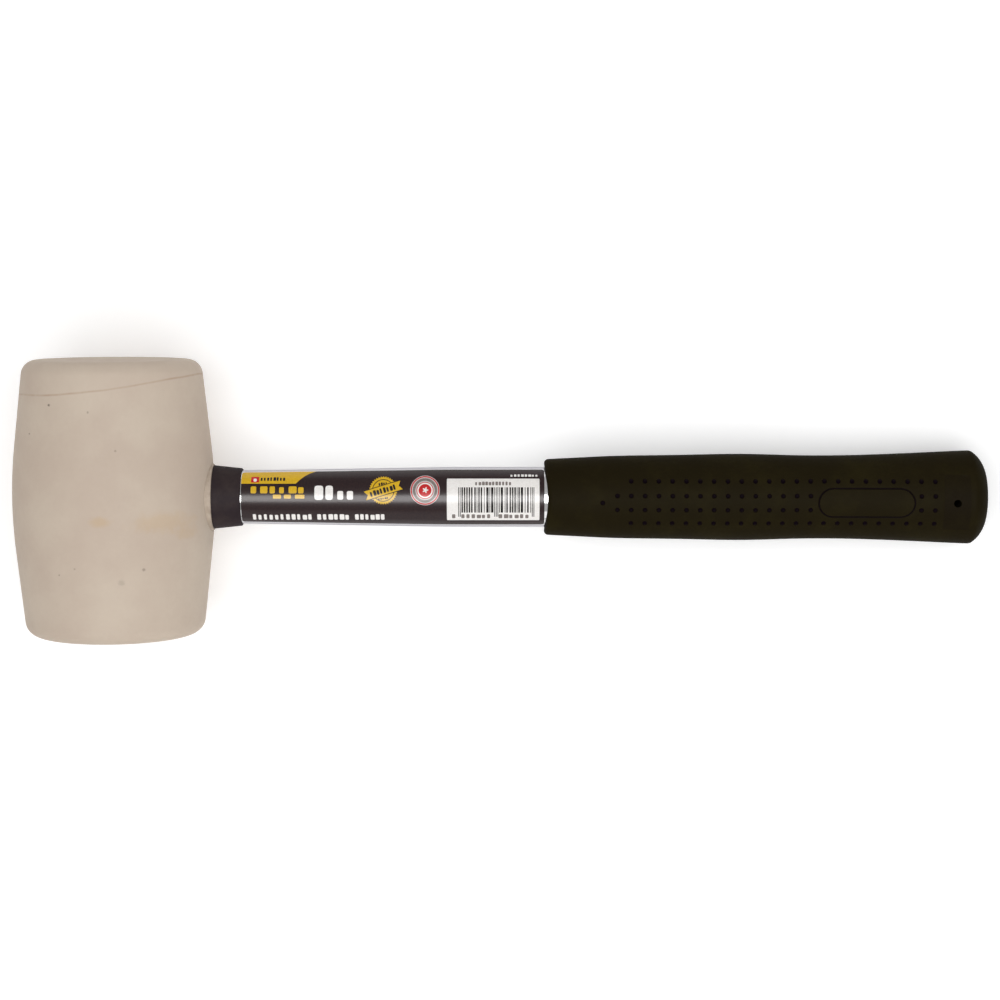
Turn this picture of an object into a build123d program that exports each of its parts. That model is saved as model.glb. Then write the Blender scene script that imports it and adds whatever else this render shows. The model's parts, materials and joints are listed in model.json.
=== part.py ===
"""A 16 oz non-marring rubber mallet with a tubular steel handle.

The mallet lies on a bench, label side up: its belly and the butt of its grip both touch Z = 0.
The head's axis runs along Y, and the handle points along +X and slopes down to its butt.
The origin is on the bench, at the middle of the mallet's length and width.
Distances called x below run along the handle from the centre of the head. All sizes are in mm.
"""

import os
from math import asin, atan2, cos, hypot, radians, sin

from build123d import *

# ---- driving dimensions ------------------------------------------------------------------------
# Head: a barrel about Y, with a rounded belly, drafted flanks and radiused striking faces.
BELLY_RADIUS = 33.9
HEAD_LENGTH = 93.2
BELLY_ARC_RADIUS = 160.0
FLANK_DRAFT = 6.2
FACE_EDGE_RADIUS = 5.2

# Rim of the eye: a low flat seat that the head raises round the collar.
EYE_RIM_RADIUS = 11.4
EYE_RIM_END = 34.0
EYE_RIM_EDGE_RADIUS = 0.5

# Handle tube: swaged down where it enters the head.
TUBE_RADIUS = 10.1
NECK_RADIUS = 9.05
TUBE_WALL = 1.2
TUBE_START = -22.0
SWAGE_START = 46.0
SWAGE_END = 112.0
TUBE_END = 274.0
CORE_PLUG_LENGTH = 62.0
CORE_PLUG_CHAMFER = 0.8

# Blind eye of the head, the adhesive in it, and the collar at its mouth.
BOND_THICKNESS = 0.25
COLLAR_SEAT = 20.0
COLLAR_END = 43.7
COLLAR_ROOT_RADIUS = 10.75
COLLAR_TIP_RADIUS = 9.75
COLLAR_LIP_RADIUS = 0.6

# Grip: an oval sleeve with a concave mouth and a domed butt.
# Each station is x, half the width along Y, and half the thickness across it.
GRIP_STATIONS = [
    (142.0, 13.3, 12.6),
    (165.0, 13.8, 12.9),
    (182.0, 14.15, 13.2),
    (199.0, 14.45, 13.5),
    (212.0, 14.65, 13.6),
    (226.0, 14.3, 13.4),
    (241.0, 14.1, 13.3),
    (256.0, 14.4, 13.6),
    (270.0, 14.95, 14.0),
    (286.0, 15.75, 14.4),
    (299.0, 16.2, 14.6),
]
MOUTH_X = 146.8
MOUTH_ARC_RADIUS = 55.0
MOUTH_EDGE_RADIUS = 1.7
BUTT_X = 295.5
BUTT_CROWN_RADIUS = 45.0
BUTT_CROWN_ARC = 11.4
BUTT_SHOULDER_RADIUS = 10.5
BUTT_SHOULDER_ARC = 66.0
BUTT_EDGE_RADIUS = 1.0
BUTT_PLUG_STEM = 12.0
BUTT_PLUG_FLANGE = 2.0

# Relief of the grip's upper side: dimples in four rows, a thumb pad, and a hole for a lanyard.
# The moulding is turned a little about the handle, so its relief leans towards -Y.
RELIEF_TURN = 3.7
RELIEF_DEPTH = 0.5
DIMPLE_RADIUS = 0.85
DIMPLE_PITCH = 4.605
DIMPLE_ROW_PITCH = 4.76
DIMPLES_START = 174.6
DIMPLE_COLUMNS = 23
PAD_COLUMNS = range(14, 21)
LONE_DIMPLE_X = 165.1
PAD_X = 253.2
PAD_LENGTH = 32.0
PAD_WIDTH = 9.7
PAD_GROOVE = 0.6
LANYARD_HOLE_X = 283.3
LANYARD_HOLE_RADIUS = 1.3

# Label: a film stuck round the upper side of the tube, turned a little towards +Y.
LABEL_START = 43.9
LABEL_END = 145.7
LABEL_WRAP = 130.0
LABEL_TURN = 5.0
LABEL_THICKNESS = 0.12

# ---- how it lies -------------------------------------------------------------------------------
# The butt's lower edge, in the handle's own frame, touches the bench together with the belly.
BUTT_TOE_X = 290.9
BUTT_TOE_HALF_THICKNESS = 14.5
toe_reach = hypot(BUTT_TOE_X, BUTT_TOE_HALF_THICKNESS)
slope = asin(BELLY_RADIUS / toe_reach) - atan2(BUTT_TOE_HALF_THICKNESS, BUTT_TOE_X)

butt_reach = (BUTT_X - BUTT_CROWN_RADIUS) * cos(slope) + BUTT_CROWN_RADIUS
middle = (butt_reach - BELLY_RADIUS) / 2

# Plane of the handle: local X along the handle, local Y along the head, local Z to the label side.
lie = Plane(
    origin=(-middle, 0, BELLY_RADIUS),
    x_dir=(cos(slope), 0, -sin(slope)),
    z_dir=(sin(slope), 0, cos(slope)),
)
head_axis = Axis(lie.origin, lie.y_dir)
handle_axis = Axis(lie.origin, lie.x_dir)


def across(x):
    """The plane square to the handle at x, with its local X along the head."""
    return Plane(origin=lie.from_local_coords((x, 0, 0)), x_dir=lie.y_dir, z_dir=lie.x_dir)


def tube_radius(x):
    """Outer radius of the handle tube at x."""
    share = min(max((x - SWAGE_START) / (SWAGE_END - SWAGE_START), 0), 1)
    return NECK_RADIUS + share * (TUBE_RADIUS - NECK_RADIUS)


def grip_stock(inset=0):
    """The grip's oval stock, before its ends are shaped, drawn in all round by inset."""
    with BuildPart() as stock:
        for x, half_width, half_thickness in GRIP_STATIONS:
            with BuildSketch(across(x)):
                Ellipse(half_width - inset, half_thickness - inset)
        loft()
    return stock.part


# ---- head --------------------------------------------------------------------------------------
half_head = HEAD_LENGTH / 2
eye_floor_x = TUBE_START - BOND_THICKNESS
with BuildPart() as head:
    with BuildSketch(lie):
        with BuildLine():
            belly = JernArc((BELLY_RADIUS, 0), (0, 1), BELLY_ARC_RADIUS, FLANK_DRAFT)
            flank_end = belly @ 1 + (belly % 1) * ((half_head - (belly @ 1).Y) / (belly % 1).Y)
            Polyline(belly @ 1, flank_end, (0, half_head), (0, 0), (BELLY_RADIUS, 0))
        make_face()
    revolve(axis=head_axis)
    fillet(head.edges().group_by(Axis.Y)[-1], radius=FACE_EDGE_RADIUS)
    mirror(about=Plane.XZ)
    with BuildSketch(across(BELLY_RADIUS / 2)):
        Circle(EYE_RIM_RADIUS)
    extrude(amount=EYE_RIM_END - BELLY_RADIUS / 2)
    fillet(head.edges().sort_by(Axis.X)[-1], radius=EYE_RIM_EDGE_RADIUS)
    with BuildSketch(across(eye_floor_x)):
        Circle(NECK_RADIUS + BOND_THICKNESS)
    extrude(amount=BELLY_RADIUS - eye_floor_x, mode=Mode.SUBTRACT)
    with BuildSketch(across(COLLAR_SEAT)):
        Circle(COLLAR_ROOT_RADIUS)
    extrude(amount=BELLY_RADIUS, mode=Mode.SUBTRACT)

# ---- collar: a straight liner in the mouth of the eye, then a short cone up the tube -------------
with BuildPart() as collar:
    with BuildSketch(lie):
        with BuildLine():
            Polyline(
                (COLLAR_SEAT, NECK_RADIUS),
                (COLLAR_SEAT, COLLAR_ROOT_RADIUS),
                (EYE_RIM_END, COLLAR_ROOT_RADIUS),
                (COLLAR_END, COLLAR_TIP_RADIUS),
                (COLLAR_END, NECK_RADIUS),
                close=True,
            )
        make_face()
    revolve(axis=handle_axis)
    lip = collar.edges().filter_by(GeomType.CIRCLE).group_by(SortBy.RADIUS)[-2]
    fillet(lip, radius=COLLAR_LIP_RADIUS)

# ---- handle tube ---------------------------------------------------------------------------------
with BuildPart() as handle_tube:
    with BuildSketch(lie):
        with BuildLine():
            Polyline(
                (TUBE_START, NECK_RADIUS),
                (SWAGE_START, NECK_RADIUS),
                (SWAGE_END, TUBE_RADIUS),
                (TUBE_END, TUBE_RADIUS),
                (TUBE_END, TUBE_RADIUS - TUBE_WALL),
                (SWAGE_END, TUBE_RADIUS - TUBE_WALL),
                (SWAGE_START, NECK_RADIUS - TUBE_WALL),
                (TUBE_START, NECK_RADIUS - TUBE_WALL),
                close=True,
            )
        make_face()
    revolve(axis=handle_axis)

# ---- core plug: a dowel in the head end of the tube ----------------------------------------------
with BuildPart() as core_plug:
    with BuildSketch(across(TUBE_START)):
        Circle(NECK_RADIUS - TUBE_WALL)
    extrude(amount=CORE_PLUG_LENGTH)
    chamfer(core_plug.edges().filter_by(GeomType.CIRCLE), length=CORE_PLUG_CHAMFER)

# ---- eye bond: the cup of adhesive between the tube and the eye -----------------------------------
with BuildPart() as eye_bond:
    with BuildSketch(across(eye_floor_x)):
        Circle(NECK_RADIUS + BOND_THICKNESS)
    extrude(amount=COLLAR_SEAT - eye_floor_x)
    with BuildSketch(across(TUBE_START)):
        Circle(NECK_RADIUS)
    extrude(amount=COLLAR_SEAT - TUBE_START, mode=Mode.SUBTRACT)

# ---- butt plug: a flanged plug in the grip end of the tube ----------------------------------------
with BuildPart() as butt_plug:
    with BuildSketch(across(TUBE_END - BUTT_PLUG_STEM)):
        Circle(TUBE_RADIUS - TUBE_WALL)
    extrude(amount=BUTT_PLUG_STEM)
    with BuildSketch(across(TUBE_END)):
        Circle(TUBE_RADIUS)
    extrude(amount=BUTT_PLUG_FLANGE)

# ---- grip ----------------------------------------------------------------------------------------
dimple_columns = [DIMPLES_START + i * DIMPLE_PITCH for i in range(DIMPLE_COLUMNS)]
inner_row, outer_row = DIMPLE_ROW_PITCH / 2, DIMPLE_ROW_PITCH * 3 / 2
inner_columns = [x for i, x in enumerate(dimple_columns) if i not in PAD_COLUMNS]
inner_columns.append(DIMPLES_START - DIMPLE_PITCH)
dimples = [(x, side * outer_row) for x in dimple_columns for side in (-1, 1)]
dimples += [(x, side * inner_row) for x in inner_columns for side in (-1, 1)]
dimples.append((LONE_DIMPLE_X, 0))

grip_outside = grip_stock()
grip_relief_floor = grip_stock(inset=RELIEF_DEPTH)

lean = radians(RELIEF_TURN)
relief_plane = Plane(
    origin=lie.origin,
    x_dir=lie.x_dir,
    z_dir=lie.z_dir * cos(lean) - lie.y_dir * sin(lean),
)
with BuildPart() as relief:
    with BuildSketch(relief_plane):
        with Locations(*dimples):
            Circle(DIMPLE_RADIUS)
        with Locations((PAD_X, 0)):
            SlotOverall(PAD_LENGTH, PAD_WIDTH)
            SlotOverall(PAD_LENGTH - 2 * PAD_GROOVE, PAD_WIDTH - 2 * PAD_GROOVE, mode=Mode.SUBTRACT)
    extrude(amount=2 * BUTT_TOE_HALF_THICKNESS)
    add(grip_relief_floor, mode=Mode.SUBTRACT)

with BuildPart() as dome:
    with BuildSketch(lie):
        with BuildLine():
            crown = JernArc((BUTT_X, 0), (0, 1), BUTT_CROWN_RADIUS, BUTT_CROWN_ARC)
            shoulder = JernArc(crown @ 1, crown % 1, BUTT_SHOULDER_RADIUS, BUTT_SHOULDER_ARC)
            skirt = shoulder @ 1 + (shoulder % 1) * BUTT_SHOULDER_RADIUS
            Polyline(shoulder @ 1, skirt, (0, skirt.Y), (0, 0), (BUTT_X, 0))
        make_face()
    revolve(axis=handle_axis)

with BuildPart() as grip:
    add(grip_outside)
    add(dome.part, mode=Mode.INTERSECT)
    with BuildSketch(lie.offset(-BELLY_RADIUS)):
        with Locations((MOUTH_X - MOUTH_ARC_RADIUS, 0)):
            Circle(MOUTH_ARC_RADIUS)
    extrude(amount=2 * BELLY_RADIUS, mode=Mode.SUBTRACT)
    butt_rim = grip.edges().filter_by(lambda edge: edge.center().X > across(BUTT_TOE_X - 5).origin.X)
    fillet(butt_rim.filter_by(GeomType.BSPLINE), radius=BUTT_EDGE_RADIUS)
    fillet(grip.edges().sort_by(Axis.X)[0], radius=MOUTH_EDGE_RADIUS)
    add(relief.part, mode=Mode.SUBTRACT)
    with BuildSketch(across(SWAGE_END)):
        Circle(TUBE_RADIUS)
    extrude(amount=TUBE_END + BUTT_PLUG_FLANGE - SWAGE_END, mode=Mode.SUBTRACT)
    with BuildSketch(relief_plane.offset(-BELLY_RADIUS)):
        with Locations((LANYARD_HOLE_X, 0)):
            Circle(LANYARD_HOLE_RADIUS)
    extrude(amount=2 * BELLY_RADIUS, mode=Mode.SUBTRACT)

# ---- label ---------------------------------------------------------------------------------------
label_inner = [(x, tube_radius(x)) for x in (LABEL_START, SWAGE_START, SWAGE_END, LABEL_END)]
label_outer = [(x, radius + LABEL_THICKNESS) for x, radius in reversed(label_inner)]
edge_angle = radians(90 - LABEL_TURN - LABEL_WRAP / 2)
label_edge_plane = Plane(
    origin=lie.origin,
    x_dir=lie.x_dir,
    z_dir=lie.z_dir * cos(edge_angle) - lie.y_dir * sin(edge_angle),
)
with BuildPart() as label:
    with BuildSketch(label_edge_plane):
        Polygon(*label_inner, *label_outer, align=None)
    revolve(axis=handle_axis, revolution_arc=LABEL_WRAP)

# ---- export --------------------------------------------------------------------------------------
pieces = {
    "head": head,
    "collar": collar,
    "handle_tube": handle_tube,
    "core_plug": core_plug,
    "eye_bond": eye_bond,
    "butt_plug": butt_plug,
    "grip": grip,
    "label": label,
}
os.makedirs("parts", exist_ok=True)
for name, piece in pieces.items():
    piece.part.label = name
    export_step(piece.part, f"parts/{name}.step")
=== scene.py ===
"""A rubber mallet lying on a pale floor, seen from above: what it looks like, around its CAD frame.

Pieces are built in millimetres in the handle's own frame: x runs along the handle from the centre
of the head to the butt, y along the head, and z out of the label. LIE takes it to the CAD's frame.
"""

import json
from bisect import bisect_right
from math import asin, atan2, cos, hypot, pi, radians, sin, sqrt, tan
from random import Random

import bmesh
import bpy
from mathutils import Matrix, Vector
from mathutils.bvhtree import BVHTree
from mathutils.geometry import delaunay_2d_cdt


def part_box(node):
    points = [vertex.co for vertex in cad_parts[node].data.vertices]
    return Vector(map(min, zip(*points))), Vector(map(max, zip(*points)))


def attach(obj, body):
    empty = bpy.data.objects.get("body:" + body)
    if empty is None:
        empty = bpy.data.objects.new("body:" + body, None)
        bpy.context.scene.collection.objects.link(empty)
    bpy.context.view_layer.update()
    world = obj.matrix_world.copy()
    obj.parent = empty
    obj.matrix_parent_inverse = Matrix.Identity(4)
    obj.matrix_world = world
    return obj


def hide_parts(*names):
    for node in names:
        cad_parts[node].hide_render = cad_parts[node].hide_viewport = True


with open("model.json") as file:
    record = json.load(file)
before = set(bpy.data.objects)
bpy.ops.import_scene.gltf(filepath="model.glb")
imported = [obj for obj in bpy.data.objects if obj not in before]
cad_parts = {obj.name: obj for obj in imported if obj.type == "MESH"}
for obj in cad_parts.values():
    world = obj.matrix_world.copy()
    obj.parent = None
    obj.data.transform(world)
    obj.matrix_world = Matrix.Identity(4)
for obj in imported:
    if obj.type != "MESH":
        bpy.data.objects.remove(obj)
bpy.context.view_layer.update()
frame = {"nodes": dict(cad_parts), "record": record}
nodes = frame["nodes"]

# ---- the handle's frame, from the CAD ------------------------------------------------------------
MM = 0.001
mounts = {mount["name"]: mount for mount in frame["record"]["mounts"]}
lanyard_axis = Vector(mounts["lanyard_hole"]["axis"])
head_low, head_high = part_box("head")
belly_radius = head_high.z / 2
head_centre = Vector((head_low.x + belly_radius, 0, belly_radius))
LIE = (
    Matrix.Translation(head_centre)
    @ Matrix.Rotation(atan2(lanyard_axis.x, lanyard_axis.z), 4, "Y")
    @ Matrix.Scale(MM, 4)
)
TO_HANDLE = LIE.inverted()
lanyard_x = (TO_HANDLE @ Vector(mounts["lanyard_hole"]["pos_m"])).x
lanyard_radius = mounts["lanyard_hole"]["dims"]["r_mm"]
OUTWARD = 0.3  # how closely a face's normal follows the radius on the outside of a node
RAY_START = 60  # outside every node's skin


def handle_points(node):
    """The vertices of a CAD node in the handle's frame."""
    return [TO_HANDLE @ vertex.co for vertex in nodes[node].data.vertices]


def x_span(node):
    """Where a CAD node starts and ends along the handle."""
    xs = [point.x for point in handle_points(node)]
    return min(xs), max(xs)


def outline(node):
    """A CAD node's outer radius about the handle at each x where its outside has vertices."""
    points = handle_points(node)
    radii = {}
    for polygon in nodes[node].data.polygons:
        a, b, c = (points[i] for i in polygon.vertices)
        radial = (a + b + c) * Vector((0, 1, 1))
        if (b - a).cross(c - a).normalized().dot(radial.normalized()) > OUTWARD:
            for corner in (a, b, c):
                x = round(corner.x, 1)
                radii[x] = max(radii.get(x, 0), hypot(corner.y, corner.z))
    return sorted(radii.items())


def interpolate(table, x):
    """The value at x of a table of (x, value) pairs, by straight lines."""
    i = min(max(bisect_right(table, (x,)) - 1, 0), len(table) - 2)
    (x0, y0), (x1, y1) = table[i], table[i + 1]
    return y0 + (y1 - y0) * min(max((x - x0) / (x1 - x0), 0), 1)


def reach(node):
    """A function that gives how far a CAD node reaches from the axis, at x along a direction."""
    polygons = [polygon.vertices for polygon in nodes[node].data.polygons]
    tree = BVHTree.FromPolygons(handle_points(node), polygons)

    def distance(x, direction):
        hit = tree.ray_cast(Vector((x, 0, 0)) + direction * RAY_START, -direction)
        return RAY_START - hit[3]

    return distance


# ---- mesh tools ----------------------------------------------------------------------------------
def build(name, verts, faces, slots=None, sharp_angle=35):
    """A mesh from handle-frame points, smooth except at edges sharper than sharp_angle degrees."""
    mesh = bpy.data.meshes.new(name)
    mesh.from_pydata([LIE @ Vector(v) for v in verts], [], faces)
    mesh.polygons.foreach_set("use_smooth", [True] * len(mesh.polygons))
    if slots:
        mesh.polygons.foreach_set("material_index", slots)
    mesh.set_sharp_from_angle(angle=radians(sharp_angle))
    mesh.update()
    return mesh


def piece(name, mesh, materials, node):
    """Puts a mesh in the scene as the piece that stands for a CAD node."""
    made = bpy.data.objects.new(name, mesh)
    bpy.context.scene.collection.objects.link(made)
    for material in materials:
        mesh.materials.append(material)
    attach(made, "root")
    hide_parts(node)
    return made


def lathe(profile, segments, spin):
    """Turns a closed profile of (along, radius) points, with spin to place each at an angle."""
    count = len(profile)
    verts, rings = [], []
    for along, radius in profile:
        on_axis = radius < 1e-6
        turns = 1 if on_axis else segments
        rings.append([len(verts) + k % turns for k in range(segments)])
        verts += [spin(along, radius, 2 * pi * k / segments) for k in range(turns)]
    faces = []
    for i in range(count):
        ring, after = rings[i], rings[(i + 1) % count]
        for k in range(segments):
            corners = [ring[k], after[k], after[(k + 1) % segments], ring[(k + 1) % segments]]
            face = [c for j, c in enumerate(corners) if c != corners[j - 1]]
            if len(face) > 2:
                faces.append(face)
    return verts, faces


def about_handle(along, radius, angle):
    """A point turned about the handle's axis, starting at the label's side."""
    return (along, radius * sin(angle), radius * cos(angle))


def about_head(along, radius, angle):
    """A point turned about the head's axis."""
    return (radius * sin(angle), along, radius * cos(angle))


def arc(centre, radius, start, end, steps):
    """Points on an arc, with angles in degrees from the first axis."""
    angles = [radians(start + (end - start) * i / steps) for i in range(steps + 1)]
    return [(centre[0] + radius * cos(a), centre[1] + radius * sin(a)) for a in angles]


def rounded(points, radius, steps=4):
    """A closed polygon with each corner cut to a curve that starts radius before it."""
    made = []
    for i, corner in enumerate(points):
        corner = Vector(corner)
        before, after = Vector(points[i - 1]), Vector(points[(i + 1) % len(points)])
        cut = min(radius, (before - corner).length / 2, (after - corner).length / 2)
        start = corner + (before - corner).normalized() * cut
        end = corner + (after - corner).normalized() * cut
        for step in range(steps + 1):
            t = step / steps
            made.append(tuple(start * (1 - t) ** 2 + corner * 2 * t * (1 - t) + end * t * t))
    return made


def triangulate(u_lines, v_lines, loops):
    """Flat triangles over a grid, cut along closed loops; each has the loops that hold it."""
    verts, edges, faces = [], [], []
    for u in u_lines:
        edges.append((len(verts), len(verts) + 1))
        verts += [(u, v_lines[0]), (u, v_lines[-1])]
    for v in v_lines:
        edges.append((len(verts), len(verts) + 1))
        verts += [(u_lines[0], v), (u_lines[-1], v)]
    for loop in loops:
        faces.append(list(range(len(verts), len(verts) + len(loop))))
        verts += loop
    flat, _, triangles, _, _, holders = delaunay_2d_cdt(
        [Vector(v) for v in verts], edges, faces, 1, 1e-5
    )
    return flat, triangles, holders


# ---- materials -----------------------------------------------------------------------------------
class Shader:
    """One node material on a Principled surface, with its textures in the handle's frame, in mm."""

    def __init__(self, name, **surface):
        self.material = bpy.data.materials.new(name)
        self.material.use_nodes = True
        self.tree = self.material.node_tree
        self.surface = self.tree.nodes["Principled BSDF"]
        for socket, value in surface.items():
            self.surface.inputs[socket.replace("_", " ")].default_value = value
        place = self.add("ShaderNodeMapping")
        place.inputs["Location"].default_value = TO_HANDLE.translation
        place.inputs["Rotation"].default_value = TO_HANDLE.to_euler()
        place.inputs["Scale"].default_value = TO_HANDLE.to_scale()
        self.link(self.add("ShaderNodeTexCoord").outputs["Object"], place.inputs["Vector"])
        self.place = place.outputs["Vector"]

    def add(self, kind, **settings):
        node = self.tree.nodes.new(kind)
        for name, value in settings.items():
            setattr(node, name, value)
        return node

    def link(self, source, target):
        self.tree.links.new(source, target)

    def feed(self, socket, value):
        """Sets an input to a number or a colour, or links it to an output."""
        if isinstance(value, bpy.types.NodeSocket):
            self.link(value, socket)
        else:
            socket.default_value = value

    def math(self, operation, first, second=0.5, third=0.0, clamp=False):
        node = self.add("ShaderNodeMath", operation=operation, use_clamp=clamp)
        for socket, value in zip(node.inputs, (first, second, third)):
            self.feed(socket, value)
        return node.outputs[0]

    def stretched(self, scale):
        """The mm coordinates, scaled by a different amount along each axis."""
        node = self.add("ShaderNodeMapping")
        node.inputs["Scale"].default_value = scale
        self.link(self.place, node.inputs["Vector"])
        return node.outputs["Vector"]

    def noise(self, size, detail=3.0, roughness=0.5, distortion=0.0, where=None):
        """Noise whose features are about size mm across."""
        node = self.add("ShaderNodeTexNoise")
        node.inputs["Scale"].default_value = 1 / size
        node.inputs["Detail"].default_value = detail
        node.inputs["Roughness"].default_value = roughness
        node.inputs["Distortion"].default_value = distortion
        self.link(where or self.place, node.inputs["Vector"])
        return node.outputs["Fac"]

    def ramp(self, value, low, high, out_low=0.0, out_high=1.0):
        """A smooth step of value from low to high."""
        node = self.add("ShaderNodeMapRange", interpolation_type="SMOOTHSTEP")
        for socket, number in zip(node.inputs, (value, low, high, out_low, out_high)):
            self.feed(socket, number)
        return node.outputs[0]

    def mix(self, share, first, second):
        """A blend of two colours."""
        node = self.add("ShaderNodeMix", data_type="RGBA")
        for index, value in ((0, share), (6, first), (7, second)):
            self.feed(node.inputs[index], value)
        return node.outputs[2]

    def spot(self, x, y, half_width, half_height, strength, z, ragged):
        """A soft mark seen from above at (x, y), with a ragged edge."""
        place = self.add("ShaderNodeMapping")
        place.inputs["Location"].default_value = (-x / half_width, -y / half_height, 0)
        place.inputs["Scale"].default_value = (1 / half_width, 1 / half_height, 0)
        self.link(self.place, place.inputs["Vector"])
        distance = self.add("ShaderNodeVectorMath", operation="LENGTH")
        self.link(place.outputs["Vector"], distance.inputs[0])
        rough = self.math("MULTIPLY_ADD", self.noise(ragged), 0.9, distance.outputs["Value"])
        mark = self.ramp(rough, 0.7, 1.5, strength, 0.0)
        return self.math("MULTIPLY", mark, self.math("GREATER_THAN", z, 0.0))

    def xyz(self):
        """The three handle-frame coordinates."""
        node = self.add("ShaderNodeSeparateXYZ")
        self.link(self.place, node.inputs[0])
        return node.outputs

    def colour(self, value):
        self.feed(self.surface.inputs["Base Color"], value)

    def rough(self, value):
        self.feed(self.surface.inputs["Roughness"], value)

    def bump(self, height_mm, depth_mm):
        """Relief from a 0 to 1 height, depth_mm deep."""
        node = self.add("ShaderNodeBump")
        node.inputs["Distance"].default_value = depth_mm * MM
        self.link(height_mm, node.inputs["Height"])
        self.link(node.outputs[0], self.surface.inputs["Normal"])


def rgb(red, green, blue):
    """A colour from 8-bit screen values."""
    shares = (red / 255, green / 255, blue / 255)
    linear = [((c + 0.055) / 1.055) ** 2.4 if c > 0.04 else c / 12.92 for c in shares]
    return (*linear, 1.0)


# The mould's flow line runs across the head near one face, and rises towards the handle.
FLOW_LINE_Y = 35.3
FLOW_LINE_RISE = 7.6
FLOW_LINE_WAVE = 3.0
HEAD_WIDTHS_PER_MM = 0.0147

# Marks on the head's upper side, as x, y, half width, half height and strength.
HEAD_STAINS = (
    (0.9, -5.3, 4.5, 2.4, 0.36),
    (20, -6.0, 12, 4.5, 0.27),
    (27, -10, 4.5, 2.8, 0.22),
)
HEAD_SPECKS = (
    (-16.4, 32.6, 0.55, 0.55, 0.8),
    (-2.9, 30.5, 0.5, 0.5, 0.4),
    (-23.9, 22.9, 0.4, 0.4, 0.5),
    (14.2, -21.2, 0.7, 0.7, 0.45),
    (-13.5, -23, 0.45, 0.45, 0.45),
    (-8, -20.7, 0.5, 0.5, 0.3),
    (6, 18, 0.5, 0.5, 0.35),
    (7.2, -25.3, 1.5, 1.5, 0.18),
)
HEAD_MARKS = ((HEAD_STAINS, 3.0, (188, 156, 112)), (HEAD_SPECKS, 0.5, (92, 84, 76)))

# The head is darker round the rim of the eye, towards the collar, from one distance from the
# handle's axis to another.
RIM_DARK_START, RIM_DARK_END = 10.9, 12.2


def head_rubber():
    """Off-white rubber: cloudy, with a brown flow line, ochre stains, specks and a rim that is
    darker towards the collar.
    """
    s = Shader("head_rubber", Roughness=0.6, Specular_IOR_Level=0.08)
    x, y, z = s.xyz()
    clouds = s.noise(22, 4, 0.55)
    grain = s.noise(1.6, 5, 0.6)
    base = s.mix(s.ramp(clouds, 0.3, 0.7), rgb(189, 173, 158), rgb(197, 183, 167))
    base = s.mix(s.math("MULTIPLY", grain, 0.18), base, rgb(174, 154, 136))
    wave = s.math("MULTIPLY_ADD", s.noise(30, 2, 0.5), FLOW_LINE_WAVE, -FLOW_LINE_WAVE / 2)
    along = s.math("MULTIPLY_ADD", x, HEAD_WIDTHS_PER_MM, 0.5, clamp=True)
    rise = s.math("MULTIPLY", s.math("POWER", along, 2.0), FLOW_LINE_RISE)
    line_y = s.math("ADD", s.math("ADD", rise, wave), FLOW_LINE_Y)
    off = s.math("ABSOLUTE", s.math("SUBTRACT", y, line_y))
    broken = s.ramp(s.noise(7), 0.25, 0.7, 0.35, 1.0)
    line = s.math("MULTIPLY", s.ramp(off, 0.05, 0.55, 1.0, 0.0), broken)
    base = s.mix(s.math("MULTIPLY", line, 0.4), base, rgb(150, 112, 84))
    for marks, ragged, tone in HEAD_MARKS:
        for mark_x, mark_y, half_width, half_height, strength in marks:
            mark = s.spot(mark_x, mark_y, half_width, half_height, strength, z, ragged)
            base = s.mix(mark, base, rgb(*tone))
    y2, z2 = s.math("MULTIPLY", y, y), s.math("MULTIPLY", z, z)
    from_axis = s.math("SQRT", s.math("ADD", y2, z2))
    # darker, in patches, round the rim of the eye towards the collar
    rim_dark = s.ramp(from_axis, RIM_DARK_START, RIM_DARK_END, 0.7, 0.0)
    rim_dark = s.math("MULTIPLY", rim_dark, s.ramp(x, 30.5, 33.0))
    patchy = s.ramp(s.noise(2.6, 3), 0.3, 0.7, 0.45, 1.0)
    base = s.mix(s.math("MULTIPLY", rim_dark, patchy), base, rgb(118, 102, 88))
    s.colour(base)
    s.rough(s.ramp(grain, 0.3, 0.7, 0.55, 0.7))
    s.bump(s.math("MULTIPLY_ADD", clouds, 3.0, grain), 0.05)
    return s.material


def black_rubber(name, dark, light, texture, relief, shine, deep=None):
    """Moulded black rubber with a fine texture and a little dust, and a darker colour painted in as
    shade where it is sunk.
    """
    s = Shader(name, Specular_IOR_Level=shine)
    fine = s.noise(texture, 3, 0.6)
    dust = s.ramp(s.noise(12, 5, 0.65), 0.42, 0.75)
    base = s.mix(s.math("MULTIPLY", dust, 0.6), dark, light)
    # deep is painted shade: a darker colour mixed in where the skin is sunk
    if deep:
        sunk = s.add("ShaderNodeAttribute", attribute_name="sunk")
        base = s.mix(sunk.outputs["Fac"], base, deep)
    s.colour(base)
    s.rough(s.ramp(fine, 0.3, 0.7, 0.5, 0.7))
    s.bump(fine, relief)
    return s.material


def chrome():
    """Chromed steel tube, with faint drawn lines along it; its grey edge tint paints shade into the
    reflection towards the tube's edges.
    """
    # the grey Specular_Tint is painted shade: it darkens the chrome's reflection where the tube
    # turns away from view
    s = Shader("tube_chrome", Metallic=1.0, Specular_Tint=(0.42, 0.41, 0.45, 1))
    lines = s.noise(0.9, 3, 0.6, where=s.stretched((0.03, 1.0, 1.0)))
    s.colour(s.mix(lines, rgb(214, 213, 214), rgb(236, 235, 234)))
    s.rough(s.ramp(lines, 0.3, 0.75, 0.07, 0.17))
    s.bump(lines, 0.004)
    return s.material


def film_ink(name, ink, shade):
    """Printed film under a clear gloss, with a little unevenness in the ink."""
    s = Shader(name, Roughness=0.5, Specular_IOR_Level=0.05, Coat_Weight=0.5, Coat_Roughness=0.24)
    print_grain = s.noise(0.5, 2, 0.7)
    s.colour(s.mix(s.ramp(print_grain, 0.35, 0.7), ink, shade))
    s.bump(s.noise(6, 2, 0.5), 0.02)
    return s.material


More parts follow.
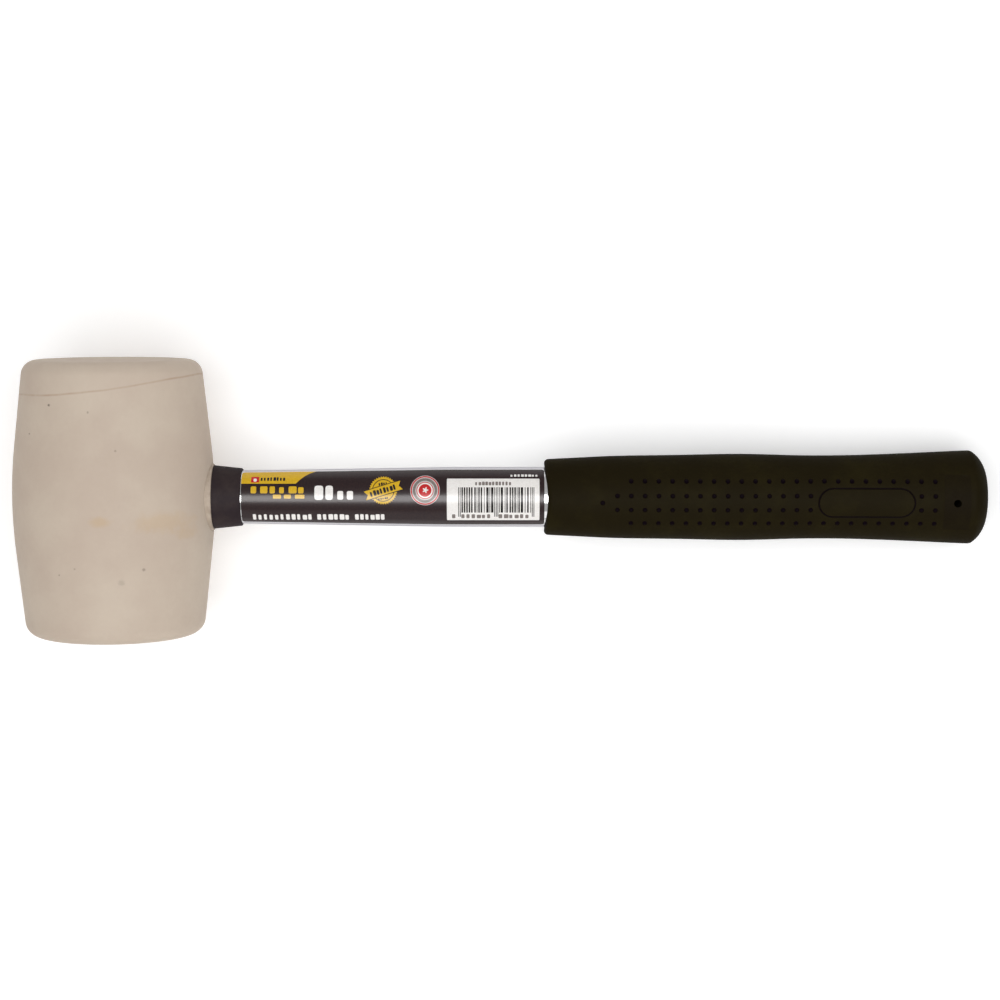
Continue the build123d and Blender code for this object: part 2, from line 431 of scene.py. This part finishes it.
def beech():
    """Turned beech, with its grain along the handle."""
    s = Shader("dowel_wood", Roughness=0.6)
    grain = s.noise(1.2, 6, 0.6, where=s.stretched((0.06, 1.0, 1.0)))
    s.colour(s.mix(grain, rgb(186, 146, 98), rgb(214, 180, 134)))
    s.bump(grain, 0.05)
    return s.material


def epoxy():
    """Cured amber adhesive."""
    s = Shader("adhesive", Roughness=0.3)
    s.colour(s.mix(s.noise(2, 4), rgb(168, 140, 88), rgb(196, 170, 116)))
    return s.material


def plug_plastic():
    """Black moulded plastic."""
    s = Shader("plug_plastic", Roughness=0.45)
    s.colour(s.mix(s.noise(3, 4), rgb(28, 28, 29), rgb(44, 44, 45)))
    s.bump(s.noise(0.4, 2), 0.01)
    return s.material


def pale_floor():
    """A nearly white studio floor."""
    glow = {"Emission_Color": (1, 1, 1, 1), "Emission_Strength": 0.22}
    s = Shader("floor", Roughness=0.9, Specular_IOR_Level=0.1, **glow)
    s.colour(s.mix(s.noise(300, 2), (0.93, 0.93, 0.93, 1), (0.95, 0.95, 0.95, 1)))
    return s.material


# ---- head ----------------------------------------------------------------------------------------
BELLY_ARC_RADIUS = 160.0
FLANK_DRAFT = 6.2
FLANK_STEPS = 10
FACE_EDGE_RADIUS = 5.2
FACE_STEPS = 4
RIM_RADIUS = 11.4
RIM_EDGE = 0.5
HEAD_SEGMENTS = 192
SLEEVE_SEGMENTS = 96
TUBE_SEGMENTS = 128
TUBE_STEPS = 60


def head_outline():
    """The barrel's outline as (along, radius), from the middle of one face to that of the other."""
    half = head_high.y / MM
    draft = radians(FLANK_DRAFT)
    belly_centre = (0, belly_radius / MM - BELLY_ARC_RADIUS)
    belly = arc(belly_centre, BELLY_ARC_RADIUS, 90, 90 - FLANK_DRAFT, 8)
    flank_x, flank_radius = belly[-1]
    edge_x = half - FACE_EDGE_RADIUS
    edge_radius = flank_radius - (edge_x - flank_x) * tan(draft) - FACE_EDGE_RADIUS / cos(draft)
    edge = arc((edge_x, edge_radius), FACE_EDGE_RADIUS, 90 - FLANK_DRAFT, 0, 14)
    shares = [i / FLANK_STEPS for i in range(1, FLANK_STEPS)]
    flank = [tuple(Vector(belly[-1]).lerp(Vector(edge[0]), share)) for share in shares]
    face = [(half, edge_radius * (1 - i / FACE_STEPS)) for i in range(1, FACE_STEPS + 1)]
    upper = belly[1:] + flank + edge + face
    return [(-x, radius) for x, radius in reversed(upper)] + [belly[0]] + upper


def combine(target, shape, operation):
    """The mesh of target with the shape's volume added or taken out, by a UNION or DIFFERENCE."""
    whole = bpy.data.objects.new("whole", target)
    tool = bpy.data.objects.new("tool", shape)
    for each in (whole, tool):
        bpy.context.scene.collection.objects.link(each)
    boolean = whole.modifiers.new("combine", "BOOLEAN")
    boolean.operation = operation
    boolean.object = tool
    boolean.solver = "EXACT"
    depsgraph = bpy.context.evaluated_depsgraph_get()
    result = bpy.data.meshes.new_from_object(whole.evaluated_get(depsgraph))
    for each in (whole, tool):
        bpy.data.objects.remove(each)
    return result


def make_head():
    """The rubber barrel, with a low rim round the eye that takes the tube and the collar."""
    barrel = build("head_mallet", *lathe(head_outline(), HEAD_SEGMENTS, about_head))
    _, rim_end = x_span("head")
    edge = arc((rim_end - RIM_EDGE, RIM_RADIUS - RIM_EDGE), RIM_EDGE, 90, 0, 6)
    rim = [(0, 0), (0, RIM_RADIUS), *edge, (rim_end, 0)]
    raised = combine(barrel, build("rim", *lathe(rim, SLEEVE_SEGMENTS, about_handle)), "UNION")
    seat, seat_radius = outline("collar")[0]
    eye_floor, eye_radius = outline("eye_bond")[0]
    outside = 2 * belly_radius / MM
    eye = [
        (eye_floor, 0),
        (eye_floor, eye_radius),
        (seat, eye_radius),
        (seat, seat_radius),
        (outside, seat_radius),
        (outside, 0),
    ]
    mesh = combine(raised, build("eye", *lathe(eye, SLEEVE_SEGMENTS, about_handle)), "DIFFERENCE")
    mesh.set_sharp_from_angle(angle=radians(40))
    piece("rubber_head", mesh, [head_rubber()], "head")


# ---- collar and tube -----------------------------------------------------------------------------
COLLAR_LIP = 0.6


def make_collar():
    """The black sleeve: a straight liner in the head, then a cone with a soft lip."""
    seat, end = x_span("collar")
    root, tip = outline("collar")[0][1], interpolate(outline("collar"), end - COLLAR_LIP)
    bore = interpolate(tube_outline, seat)
    _, cone_start = x_span("head")
    lip = arc((end - COLLAR_LIP, tip - COLLAR_LIP), COLLAR_LIP, 84, 0, 7)
    foot = [(cone_start, root), (cone_start + 0.5, root - 0.02), (cone_start + 1.6, root - 0.14)]
    profile = [(seat, bore), (seat, root), *foot, *lip, (end, bore)]
    material = black_rubber("collar_rubber", rgb(44, 36, 39), rgb(64, 55, 52), 0.35, 0.02, 0.04)
    mesh = build("collar", *lathe(profile, SLEEVE_SEGMENTS, about_handle))
    piece("neck_collar", mesh, [material], "collar")


def make_tube():
    """The chromed steel tube, open at both ends."""
    start, end = x_span("handle_tube")
    wall = tube_outline[0][1] - min(hypot(p.y, p.z) for p in handle_points("handle_tube"))
    stations = [start] + [x for x, _ in tube_outline if start < x < end] + [end]
    steps = [start + (end - start) * i / TUBE_STEPS for i in range(TUBE_STEPS + 1)]
    xs = sorted({round(x, 2) for x in stations + steps})
    outside = [(x, interpolate(tube_outline, x)) for x in xs]
    inside = [(x, radius - wall) for x, radius in reversed(outside)]
    mesh = build("tube", *lathe(outside + inside, TUBE_SEGMENTS, about_handle))
    piece("steel_tube", mesh, [chrome()], "handle_tube")


# ---- label ---------------------------------------------------------------------------------------
LABEL_TURN = 5.0
LABEL_WRAP = 130.0
LABEL_CORNER = 1.3
LABEL_MARGIN = 2.2
LABEL_COLUMNS = 20
LABEL_ROWS = 60
INKS = {
    "film": ((32, 16, 19), (42, 25, 24)),
    "yellow": ((214, 172, 28), (202, 160, 22)),
    "black": ((20, 16, 16), (28, 22, 20)),
    "red": ((196, 32, 38), (180, 26, 32)),
    "white": ((236, 233, 230), (226, 222, 218)),
    "grey": ((112, 104, 100), (130, 122, 116)),
    "pale": ((196, 190, 188), (184, 178, 176)),
}


def block(x0, y0, x1, y1, radius=0.0):
    """A rectangle, with its corners rounded if radius is given."""
    corners = [(x0, y0), (x1, y0), (x1, y1), (x0, y1)]
    return rounded(corners, radius, 3) if radius else corners


def disc(x, y, radius, points=48, scallop=0.0, lobes=0):
    """A circle, or a scalloped one."""
    made = []
    for k in range(points):
        angle = 2 * pi * k / points
        r = radius + scallop * cos(lobes * angle)
        made.append((x + r * cos(angle), y + r * sin(angle)))
    return made


def row(x0, x1, y0, y1, count, seed, tilt=0.0):
    """Count plain blocks in place of letters, along a row that may be tilted."""
    draw = Random(seed)
    pitch = (x1 - x0) / count
    middle = Vector(((x0 + x1) / 2, (y0 + y1) / 2))
    made = []
    for i in range(count):
        left = x0 + pitch * i
        right = left + pitch * draw.uniform(0.5, 0.88)
        top = y1 - (y1 - y0) * draw.choice((0, 0, 0.12))
        corners = [Vector(c) - middle for c in block(left, y0, right, top)]
        turn = Matrix.Rotation(radians(tilt), 2)
        made.append(rounded([tuple(middle + turn @ c) for c in corners], 0.18 * (y1 - y0), 2))
    return made


def ribbon(x, y, half_length, half_height, notch, tilt):
    """A straight ribbon with a notch in each end."""
    corners = [
        (-half_length, -half_height), (half_length, -half_height), (half_length - notch, 0),
        (half_length, half_height), (-half_length, half_height), (notch - half_length, 0),
    ]
    turn = Matrix.Rotation(radians(tilt), 2)
    return [tuple(Vector((x, y)) + turn @ Vector(corner)) for corner in corners]


BAR_MODULES = 95
BAR_GUARDS = (range(3), range(45, 50), range(92, BAR_MODULES))


def bar_code(x0, x1, top, bottom, guard_bottom):
    """Made-up bars between two guards, with a guard in the middle."""
    draw = Random(16)
    module = (x1 - x0) / BAR_MODULES
    bars, at = [], 0
    while at < BAR_MODULES:
        guard = any(at in modules for modules in BAR_GUARDS)
        wide = 1 if guard else draw.choice((1, 1, 2, 2, 3))
        wide = min(wide, BAR_MODULES - at)
        left = x0 + at * module
        bars.append(block(left, guard_bottom if guard else bottom, left + wide * module, top))
        at += wide + (1 if guard else draw.choice((1, 1, 2)))
    return bars


# The print's yellow field, up to a height that is past the film's edge.
FIELD = (
    (-3, 4.5), (16.2, 4.5), (17.4, 5.7), (18.9, 6.9), (20.7, 7.9),
    (22.8, 8.8), (26.0, 9.6), (26, 12.0), (-3, 12.0),
)
# Rows in place of words: ink, then what row() takes.
TITLE_ROWS = (
    ("black", 4.3, 12.9, 5.45, 6.65, 8, 3),
    ("yellow", 1.1, 20.2, 1.25, 3.6, 6, 4),
    ("yellow", 8.6, 19.7, -0.5, 1.0, 3, 5),
    ("white", 22.5, 29.9, -0.95, 3.85, 2, 6),
    ("white", 30.2, 36.6, -0.85, 2.05, 2, 7),
    ("white", 1.6, 22.1, -7.6, -5.75, 11, 8),
    ("white", 23.3, 34.6, -7.6, -5.75, 6, 9),
    ("white", 36.0, 46.4, -7.6, -5.75, 6, 10),
)
SEAL = (45.6, 2.25)
SEAL_TILT = 17
SEAL_ROWS = (
    ("black", SEAL[0] - 1.6, SEAL[0] + 1.5, 4.0, 5.0, 4, 11, 8),
    ("black", SEAL[0] - 1.7, SEAL[0] + 1.9, -0.75, -0.15, 5, 12, 8),
)
RIBBON_ROWS = (("black", SEAL[0] - 4.6, SEAL[0] + 4.6, 1.3, 3.2, 8, 13, SEAL_TILT),)
BADGE = (59.6, 2.25)
BADGE_RINGS = (
    ("pale", 4.98), ("red", 4.8), ("pale", 4.4), ("grey", 4.1),
    ("pale", 3.25), ("red", 2.85), ("white", 2.6), ("red", 2.15),
)
PANEL = (66.9, -7.75, 97.95, 6.2, 0.25)
PANEL_ROWS = (("grey", 76.4, 88.8, 3.95, 5.2, 11, 14),)
DIGIT_ROWS = (
    ("grey", 68.6, 69.9, -7.1, -5.75, 1, 15),
    ("grey", 71.7, 82.1, -7.1, -5.75, 6, 16),
    ("grey", 84.2, 95.0, -7.1, -5.75, 6, 17),
    ("white", 88.2, 97.8, 6.85, 7.6, 8, 18),
)


def rows(table):
    """All the blocks of a table of rows, as (ink, outline)."""
    return [(ink, shape) for ink, *layout in table for shape in row(*layout)]


def label_art():
    """The printing as (ink, outline), lowest first.

    x is from the print's margin, and y is up from the film's middle, as seen from above.
    """
    art = [("yellow", FIELD)]
    art += [("red", block(1.1, 4.9, 3.8, 6.8, 0.3)), ("white", block(1.9, 5.2, 3.0, 6.2, 0.4))]
    art += rows(TITLE_ROWS)
    art.append(("yellow", disc(*SEAL, 4.55, 144, 0.22, 36)))
    art += [("black", disc(*SEAL, 3.75)), ("yellow", disc(*SEAL, 3.5))]
    art += rows(SEAL_ROWS)
    art.append(("black", ribbon(*SEAL, 6.65, 1.75, 1.1, SEAL_TILT)))
    art.append(("yellow", ribbon(*SEAL, 6.4, 1.5, 1.0, SEAL_TILT)))
    art += rows(RIBBON_ROWS)
    art += [(ink, disc(*BADGE, radius)) for ink, radius in BADGE_RINGS]
    art.append(("white", disc(BADGE[0] + 0.1, BADGE[1] + 0.1, 0.75, 30, 0.3, 5)))
    art.append(("white", block(*PANEL)))
    art += rows(PANEL_ROWS)
    art += [("black", bar) for bar in bar_code(70.7, 96.2, 3.3, -5.2, -6.6)]
    art += rows(DIGIT_ROWS)
    return art


def face_points_in(points, face):
    """True if a face of points about the handle points towards the axis."""
    a, b, c = (Vector(points[i]) for i in face)
    middle = (a + b + c) / 3
    return (b - a).cross(c - a).dot(Vector((0, middle.y, middle.z))) < 0


def make_label():
    """The glossy film, cut along its printing so that each ink is its own faces."""
    start, end = x_span("label")
    origin = start + LABEL_MARGIN
    film_outline = outline("label")
    flat_radius = interpolate(film_outline, end)
    half = radians(LABEL_WRAP / 2) * flat_radius
    film = rounded([(start, -half), (end, -half), (end, half), (start, half)], LABEL_CORNER, 5)
    inks = list(INKS)

    def wrap(x, y):
        """Flat film coordinates of a point seen at height y from above the label."""
        share = min(max(y / interpolate(film_outline, x), -0.999), 0.999)
        return (x, flat_radius * asin(share))

    def on_film(x, y):
        """The nearest point that isn't past the film's edges."""
        return (min(max(x, start), end), min(max(y, -half), half))

    art = label_art()
    wrapped = [[wrap(origin + x, y) for x, y in loop] for _, loop in art]
    inside = [[on_film(*point) for point in loop] for loop in wrapped]
    u_lines = [start + (end - start) * i / LABEL_COLUMNS for i in range(LABEL_COLUMNS + 1)]
    v_lines = [half * (2 * i / LABEL_ROWS - 1) for i in range(LABEL_ROWS + 1)]
    flat, triangles, holders = triangulate(u_lines, v_lines, [film] + inside)
    kept = [(face, held) for face, held in zip(triangles, holders) if 0 in held]
    used = sorted({i for face, _ in kept for i in face})
    index = {old: new for new, old in enumerate(used)}

    def place(point, radius_at):
        """A flat film point, rolled round the handle at the radius that a table gives."""
        angle = radians(LABEL_TURN) + point.y / flat_radius
        return about_handle(point.x, interpolate(radius_at, point.x), angle)

    top = [place(flat[i], film_outline) for i in used]
    under = [place(flat[i], tube_outline) for i in used]
    faces = [[index[i] for i in face] for face, _ in kept]
    slots = [inks.index(art[max(held) - 1][0]) if max(held) else 0 for _, held in kept]
    count = len(top)
    sides = {side: None for face in faces for side in zip(face, face[1:] + face[:1])}
    rim = [(a, b) for a, b in sides if (b, a) not in sides]
    outward = -1 if face_points_in(top, faces[0]) else 1
    verts = top + under
    faces_all = [face[::outward] for face in faces]
    faces_all += [[i + count for i in face][::-outward] for face in faces]
    faces_all += [[b, a, a + count, b + count][::outward] for a, b in rim]
    mesh = build("film", verts, faces_all, slots + slots + [0] * len(rim), 60)

    # both sides of the film are shaded as parts of a cylinder, and its cut edge is shaded flat
    normals = []
    for polygon in mesh.polygons:
        on_rim = polygon.index >= 2 * len(faces)
        side = 1 if polygon.index < len(faces) else -1
        for i in polygon.vertices:
            _, y, z = verts[i]
            radial = Vector((0, y, z)).normalized() * side
            normals.append(polygon.normal if on_rim else (LIE.to_3x3() @ radial).normalized())
    mesh.normals_split_custom_set(normals)
    materials = [film_ink("film_" + ink, rgb(*one), rgb(*two)) for ink, (one, two) in INKS.items()]
    piece("printed_label", mesh, materials, "label")


# ---- grip ----------------------------------------------------------------------------------------
MOUTH_ARC_RADIUS = 55.0
MOUTH_EDGE = 1.7
MOUTH_FADE = 14.0
CROWN_RADIUS = 45.0
CROWN_ARC = 11.4
SHOULDER_RADIUS = 10.5
SHOULDER_END = 80
BUTT_EDGE = 0.9
DIMPLE_RADIUS = 0.85
DIMPLE_DEPTH = 0.5
DIMPLE_RINGS = (1.3, 1.0, 0.9, 0.7, 0.4)
DIMPLE_PITCH = 4.605
DIMPLE_ROW_PITCH = 4.76
DIMPLES_START = 174.6
DIMPLE_COLUMNS = 23
PAD_COLUMNS = range(14, 21)
LONE_DIMPLE_X = 165.1
PAD_X = 253.2
PAD_LENGTH = 32.0
PAD_WIDTH = 9.7
GROOVE_HALF_WIDTH = 0.32
GROOVE_DEPTH = 0.35
HOLE_EDGE = 0.4
SEAT_LENGTH = 8.6
SEAT_WIDTH = 18.4
SEAT_DEPTH = 0.07
STATION_PITCH = 8
GRIP_COLUMNS = 58
GRIP_ROWS = 88
MERGE_WITHIN = 0.004


def smooth(table, x):
    """The value at x of a table of (x, value) pairs, by a curve through them all."""
    i = min(max(bisect_right(table, (x,)) - 1, 0), len(table) - 2)
    (x0, y0), (x1, y1) = table[i], table[i + 1]
    width, t = x1 - x0, (x - x0) / (x1 - x0)
    before, after = table[max(i - 1, 0)], table[min(i + 2, len(table) - 1)]
    rise0 = (y1 - before[1]) / (x1 - before[0]) * width
    rise1 = (after[1] - y0) / (after[0] - x0) * width
    t2, t3 = t * t, t * t * t
    ends = (2 * t3 - 3 * t2 + 1) * y0 + (t3 - 2 * t2 + t) * rise0
    return ends + (3 * t2 - 2 * t3) * y1 + (t3 - t2) * rise1


def dimple_centres():
    """Four rows of dimples; the inner two give way to the thumb pad."""
    outer, inner = 1.5 * DIMPLE_ROW_PITCH, 0.5 * DIMPLE_ROW_PITCH
    columns = [DIMPLES_START + i * DIMPLE_PITCH for i in range(DIMPLE_COLUMNS)]
    short = [x for i, x in enumerate(columns) if i not in PAD_COLUMNS]
    short.append(DIMPLES_START - DIMPLE_PITCH)
    centres = [(x, side * outer) for x in columns for side in (-1, 1)]
    return centres + [(x, side * inner) for x in short for side in (-1, 1)] + [(LONE_DIMPLE_X, 0)]


def stadium(x, y, length, width, steps=10):
    """A slot's outline about a centre."""
    radius = width / 2
    offset = length / 2 - radius
    right = arc((x + offset, y), radius, -90, 90, steps)
    left = arc((x - offset, y), radius, 90, 270, steps)
    return right + left


def stadium_distance(x, y):
    """How far a point is outside the thumb pad's outline; less than 0 inside it."""
    reach_x = max(abs(x - PAD_X) - (PAD_LENGTH - PAD_WIDTH) / 2, 0)
    return hypot(reach_x, y) - PAD_WIDTH / 2


def make_grip():
    """The moulded grip: oval, dimpled on top, with a concave mouth and a domed butt."""
    start, butt = x_span("grip")
    _, tube_end = x_span("butt_plug")
    bore = interpolate(tube_outline, start + 10)
    grip_reach = reach("grip")
    stations = range(int(start) + 6, int(butt) - 8, STATION_PITCH)
    stations = [x for x in stations if abs(x - lanyard_x) > 3]
    widths = [(x, grip_reach(x, Vector((0, 1, 0)))) for x in stations]
    heights = [(x, grip_reach(x, Vector((0, 0, -1)))) for x in stations]
    unit = widths[len(widths) // 2][1]
    lean = asin(-lanyard_axis.y)
    half_mouth = widths[0][1]
    mouth = start + MOUTH_ARC_RADIUS - sqrt(MOUTH_ARC_RADIUS**2 - (half_mouth - MOUTH_EDGE) ** 2)

    def skin(x, angle, inset=0.0, share=1.0):
        """A point of the grip's skin; angle is from its top, inset goes inwards."""
        half_width, half_height = smooth(widths, x) * share, smooth(heights, x) * share
        y, z = half_width * sin(angle), half_height * cos(angle)
        outward = Vector((0, y / half_width**2, z / half_height**2)).normalized()
        y, z = y - outward.y * inset, z - outward.z * inset
        fade = min(max(1 - (x - mouth) / MOUTH_FADE, 0), 1)
        sag = MOUTH_ARC_RADIUS - sqrt(MOUTH_ARC_RADIUS**2 - min(abs(y), half_mouth) ** 2)
        return (x - sag * fade * fade * (3 - 2 * fade), y, z)

    def flat(x, y, side=1):
        """Where a point of the relief's plan, or of the underside's, lies on the unrolled skin."""
        across, up = smooth(widths, x) * cos(lean), smooth(heights, x) * sin(lean)
        angle = asin(y / hypot(across, up))
        return (x, ((angle if side > 0 else pi - angle) - atan2(up, across)) * unit)

    def hole(radius, side):
        """The lanyard hole's outline on the unrolled skin, anticlockwise."""
        return [flat(x, side * y, side) for x, y in disc(lanyard_x, 0, radius, 32)]

    def relief(x, y, z):
        """How deep the skin is sunk at a point."""
        y, z = y * cos(lean) + z * sin(lean), z * cos(lean) - y * sin(lean)
        if z < 0:
            return 0
        deep = 0
        for cx, cy in centres:
            share = hypot(x - cx, y - cy) / DIMPLE_RADIUS
            if share < 1:
                deep = max(deep, DIMPLE_DEPTH * (1 - share * share) ** 0.6)
        off = abs(stadium_distance(x, y)) / GROOVE_HALF_WIDTH
        if max(abs(x - lanyard_x) - SEAT_LENGTH / 2, abs(y) - SEAT_WIDTH / 2) < 0.01:
            deep = max(deep, SEAT_DEPTH)
        return max(deep, GROOVE_DEPTH * (1 - off * off) if off < 1 else 0)

    centres = dimple_centres()
    hole_rings = (lanyard_radius, lanyard_radius + HOLE_EDGE)
    loops = [hole(radius, side) for radius in hole_rings for side in (1, -1)]
    for cx, cy in centres:
        for ring in DIMPLE_RINGS:
            loops.append([flat(x, y) for x, y in disc(cx, cy, DIMPLE_RADIUS * ring, 16)])
    for out in (0, 0.5):
        half_length, half_width = (SEAT_LENGTH + out) / 2, (SEAT_WIDTH + out) / 2
        seat = rounded(block(-half_length, -half_width, half_length, half_width), 1.2)
        loops.append([flat(lanyard_x + x, y) for x, y in seat])
    for k in (-1.6, -1, -0.5, 0, 0.5, 1, 1.6):
        out = 2 * k * GROOVE_HALF_WIDTH
        loops.append([flat(x, y) for x, y in stadium(PAD_X, 0, PAD_LENGTH + out, PAD_WIDTH + out)])

    # the butt's outline, from the flank to the pole, as (x, half width)
    crown_x = butt - CROWN_RADIUS
    crown = arc((crown_x, 0), CROWN_RADIUS, 0, CROWN_ARC, 6)
    turn = radians(CROWN_ARC)
    spare = CROWN_RADIUS - SHOULDER_RADIUS
    centre = (crown_x + spare * cos(turn), spare * sin(turn))
    shoulder = arc(centre, SHOULDER_RADIUS, CROWN_ARC, SHOULDER_END, 40)
    shoulder = [point for point in shoulder if point[1] < smooth(widths, point[0])]
    corner = Vector(shoulder[-1])
    flank_end = corner.x - BUTT_EDGE
    lead = Vector((flank_end, smooth(widths, flank_end)))
    bend = Vector((corner.x, smooth(widths, corner.x)))
    last = max(k for k, point in enumerate(shoulder) if (Vector(point) - corner).length > BUTT_EDGE)
    tail = Vector(shoulder[last])
    shares = (0.2, 0.4, 0.6, 0.8, 1.0)
    turned = [lead * (1 - t) ** 2 + bend * 2 * t * (1 - t) + tail * t * t for t in shares]
    dome = [tuple(point) for point in turned] + shoulder[:last][::-1] + crown[::-1][1:-1]

    flank_start = mouth + MOUTH_EDGE
    flank = flank_end - flank_start
    u_lines = [flank_start + flank * i / GRIP_COLUMNS for i in range(GRIP_COLUMNS + 1)]
    v_lines = [unit * (2 * pi * i / GRIP_ROWS - pi / 2) for i in range(GRIP_ROWS + 1)]
    sheet = block(u_lines[0], v_lines[0], u_lines[-1], v_lines[-1])
    points, triangles, holders = triangulate(u_lines, v_lines, [sheet] + loops)
    verts, depths = [], []
    for point in points:
        angle = point.y / unit
        depths.append(relief(*skin(point.x, angle)))
        verts.append(skin(point.x, angle, depths[-1]))
    # the sheet is loop 0, and the two ends of the lanyard hole are loops 1 and 2
    faces = [
        list(face)[::-1]
        for face, held in zip(triangles, holders)
        if 0 in held and 1 not in held and 2 not in held
    ]

    def bridge(rings):
        """Joins rings of points, each seen in the same order, with quads."""
        for ring, after in zip(rings, rings[1:]):
            base = len(verts)
            verts.extend(ring + after)
            n = len(ring)
            for k in range(n):
                after_k = (k + 1) % n
                faces.append([base + k, base + after_k, base + n + after_k, base + n + k])

    angles = [v / unit for v in v_lines[:-1]]
    mouth_rings = []
    for turned_in in (radians(18 * i) for i in range(6)):
        x, inset = mouth + MOUTH_EDGE * (1 - sin(turned_in)), MOUTH_EDGE * (1 - cos(turned_in))
        mouth_rings.append([skin(x, a, inset) for a in angles])
    inner = []
    for x in (mouth, mouth + 3, tube_end):
        ring = []
        for a in angles:
            y, z = bore * sin(a), bore * cos(a)
            sag = MOUTH_ARC_RADIUS - sqrt(MOUTH_ARC_RADIUS**2 - y * y) if x < mouth + 2 else 0
            ring.append((x - sag, y, z))
        inner.append(ring)
    bridge(mouth_rings + inner)
    dome_rings = [[skin(flank_end, a) for a in angles]]
    for x, half_width in dome:
        share = half_width / smooth(widths, flank_end)
        ring = [skin(flank_end, a, 0, share) for a in angles]
        dome_rings.append([(x, y, z) for _, y, z in ring])
    bridge([ring[::-1] for ring in dome_rings])
    for ring in (inner[-1], dome_rings[-1][::-1]):
        faces.append(list(range(len(verts), len(verts) + len(ring))))
        verts.extend(ring)
    mesh = build("grip_moulding", verts, faces)
    # the sunk share darkens the grip's colour: painted shade in the dimples, the pad's groove and
    # the lanyard seat
    sunk = mesh.attributes.new("sunk", "FLOAT", "POINT")
    shares = [min(depth / GROOVE_DEPTH, 1) for depth in depths] + [0] * (len(verts) - len(depths))
    sunk.data.foreach_set("value", shares)
    shaped = bmesh.new()
    shaped.from_mesh(mesh)
    bmesh.ops.remove_doubles(shaped, verts=shaped.verts, dist=MERGE_WITHIN * MM)
    # all that is still open is the two ends of the lanyard hole
    bmesh.ops.bridge_loops(shaped, edges=[edge for edge in shaped.edges if edge.is_boundary])
    bmesh.ops.recalc_face_normals(shaped, faces=shaped.faces)
    shaped.to_mesh(mesh)
    shaped.free()
    mesh.set_sharp_from_angle(angle=radians(50))
    # deep is the painted shade of the dimples, the groove and the seat
    dark, light, deep = rgb(29, 24, 11), rgb(38, 33, 14), rgb(14, 6, 13)
    material = black_rubber("grip_rubber", dark, light, 0.3, 0.012, 0.012, deep)
    piece("dimpled_grip", mesh, [material], "grip")


# ---- assembly ------------------------------------------------------------------------------------
tube_outline = outline("handle_tube")
make_head()
make_collar()
make_tube()
make_label()
make_grip()
for node, finish in (("core_plug", beech()), ("eye_bond", epoxy()), ("butt_plug", plug_plastic())):
    nodes[node].data.materials.clear()
    nodes[node].data.materials.append(finish)


# ---- floor, camera and light ---------------------------------------------------------------------
CAMERA_TILT = 5.5
CAMERA_DISTANCE = 780.0
AIM = (130.8, -1.05, 0.0)
LENS = 82.8
AMBIENT = 0.48
BACKDROP = 0.68  # as bright as the far floor, so that no horizon shows
FLOOR_HALF = 3.0
FLOOR_CELLS = 8
LIGHTS = (
    ("overhead_box", (131, -50, 1000), (1200, 900), 7.4, {"visible_glossy": False}),
    ("gloss_strip", (131, -20, 900), (1300, 420), 20.0, {"visible_diffuse": False}),
    ("near_box", (131, -1100, 420), (1300, 700), 2.0, {}),
)


def aimed(made, place, target, up):
    """Puts an object at place, looking at target, all in the handle's frame."""
    back = (Vector(place) - Vector(target)).normalized()
    side = Vector(up).cross(back).normalized()
    turn = Matrix((side, back.cross(side), back)).transposed().to_4x4()
    lie_turn = LIE.to_quaternion().to_matrix().to_4x4()
    made.matrix_world = Matrix.Translation(LIE @ Vector(place)) @ lie_turn @ turn
    bpy.context.scene.collection.objects.link(made)


def soft_light(name, place, size, power, visibility):
    """A rectangular soft box aimed at the camera's target, in mm and watts."""
    lamp = bpy.data.lights.new(name, "AREA")
    lamp.shape = "RECTANGLE"
    lamp.size, lamp.size_y = (side * MM for side in size)
    lamp.energy = power
    made = bpy.data.objects.new(name, lamp)
    aimed(made, place, AIM, (0, 1, 0.01))
    for rays, seen in visibility.items():
        setattr(made, rays, seen)


tilt = radians(CAMERA_TILT)
view = Vector((0, sin(tilt), cos(tilt)))
camera = bpy.data.cameras.new("camera")
camera.lens = LENS
camera.clip_start, camera.clip_end = 0.01, 20
seen_from = bpy.data.objects.new("camera", camera)
aimed(seen_from, Vector(AIM) + view * CAMERA_DISTANCE, AIM, (0, cos(tilt), -sin(tilt)))
bpy.context.scene.camera = seen_from

floor_mesh = bpy.data.meshes.new("floor")
floor_lines = [FLOOR_HALF * (2 * i / FLOOR_CELLS - 1) for i in range(FLOOR_CELLS + 1)]
across = FLOOR_CELLS + 1
starts = [j * across + i for j in range(FLOOR_CELLS) for i in range(FLOOR_CELLS)]
floor_mesh.from_pydata(
    [(x, y, 0) for y in floor_lines for x in floor_lines],
    [],
    [(start, start + 1, start + across + 1, start + across) for start in starts],
)
floor = bpy.data.objects.new("floor", floor_mesh)
floor_mesh.materials.append(pale_floor())
bpy.context.scene.collection.objects.link(floor)

for light in LIGHTS:
    soft_light(*light)

# the world lights the mallet with AMBIENT, and the camera sees it as BACKDROP
world = bpy.data.worlds.new("studio")
world.use_nodes = True
studio = world.node_tree
studio.nodes["Background"].inputs["Color"].default_value = (1, 1, 1, 1)
backdrop = studio.nodes.new("ShaderNodeMapRange")
backdrop.inputs["To Min"].default_value = AMBIENT
backdrop.inputs["To Max"].default_value = BACKDROP
rays = studio.nodes.new("ShaderNodeLightPath")
studio.links.new(rays.outputs["Is Camera Ray"], backdrop.inputs["Value"])
studio.links.new(backdrop.outputs[0], studio.nodes["Background"].inputs["Strength"])
bpy.context.scene.world = world
bpy.context.scene.view_settings.view_transform = "Standard"
